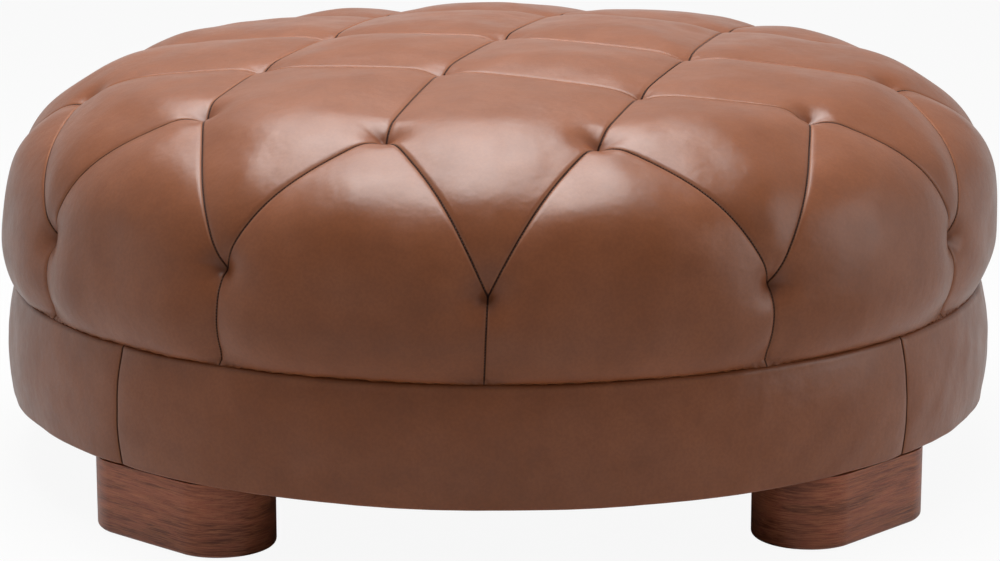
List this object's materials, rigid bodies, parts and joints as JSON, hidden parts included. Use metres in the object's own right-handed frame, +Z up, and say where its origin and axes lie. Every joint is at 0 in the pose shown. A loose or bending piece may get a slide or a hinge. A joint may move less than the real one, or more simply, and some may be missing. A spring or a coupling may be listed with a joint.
{
  "type": "ottoman coffee table",
  "caption": "Round ottoman coffee table: a deep tufted leather cushion on a leather covered drum base with stadium shaped wooden block legs.",
  "frame": {"origin": "centre of the table at floor level, under the middle of the cushion", "axes": "+Z up, -Y towards the front, +X to the right seen from the front; the legs stand almost on the diagonals"},
  "size_m": [1.07, 1.07, 0.4553],
  "materials": {
    "cushion_leather": "warm brown top-grain leather, soft sheen, fine grain",
    "base_leather": "warm brown top-grain leather, stretched smooth",
    "stained_wood": "reddish brown stain under satin lacquer, fine grain along the leg",
    "plywood": "raw birch plywood",
    "frame_timber": "planed softwood",
    "foam": "open cell polyurethane foam",
    "wadding": "polyester fibre wadding",
    "tufting_twine": "waxed tufting twine",
    "steel": "zinc plated steel",
    "felt": "dense brown felt",
    "dust_cloth": "black non-woven cloth"
  },
  "bodies": {
    "root": {"back_left_leg": "stained_wood", "back_right_leg": "stained_wood", "base_bottom_ring": "plywood", "base_foam_band": "foam", "base_leather_back": "base_leather", "base_leather_front": "base_leather", "base_leather_left": "base_leather", "base_leather_right": "base_leather", "base_posts": "frame_timber", "base_rail_front_to_back": "frame_timber", "base_rail_side_to_side": "frame_timber", "base_top_ring": "plywood", "base_wall": "plywood", "cushion_board": "plywood", "cushion_centre_panel_1": "cushion_leather", "cushion_centre_panel_2": "cushion_leather", "cushion_centre_panel_3": "cushion_leather", "cushion_centre_panel_4": "cushion_leather", "cushion_corner_panel_1": "cushion_leather", "cushion_corner_panel_2": "cushion_leather", "cushion_corner_panel_3": "cushion_leather", "cushion_corner_panel_4": "cushion_leather", "cushion_foam_core": "foam", "cushion_shield_panel_1": "cushion_leather", "cushion_shield_panel_2": "cushion_leather", "cushion_shield_panel_3": "cushion_leather", "cushion_shield_panel_4": "cushion_leather", "cushion_shield_panel_5": "cushion_leather", "cushion_shield_panel_6": "cushion_leather", "cushion_shield_panel_7": "cushion_leather", "cushion_shield_panel_8": "cushion_leather", "cushion_side_panel_1": "cushion_leather", "cushion_side_panel_10": "cushion_leather", "cushion_side_panel_11": "cushion_leather", "cushion_side_panel_12": "cushion_leather", "cushion_side_panel_2": "cushion_leather", "cushion_side_panel_3": "cushion_leather", "cushion_side_panel_4": "cushion_leather", "cushion_side_panel_5": "cushion_leather", "cushion_side_panel_6": "cushion_leather", "cushion_side_panel_7": "cushion_leather", "cushion_side_panel_8": "cushion_leather", "cushion_side_panel_9": "cushion_leather", "cushion_wadding": "wadding", "dust_cover": "dust_cloth", "dust_cover_staples": "steel", "frame_screws": "steel", "front_left_leg": "stained_wood", "front_right_leg": "stained_wood", "joining_bolt_washers": "steel", "joining_bolts": "steel", "joining_tee_nuts": "steel", "leg_bolt_washers": "steel", "leg_bolts": "steel", "leg_glide_pads": "felt", "leg_mounting_blocks": "frame_timber", "leg_threaded_inserts": "steel", "tuft_cord_washers": "steel", "tuft_cords": "tufting_twine"}
  },
  "joints": []
}
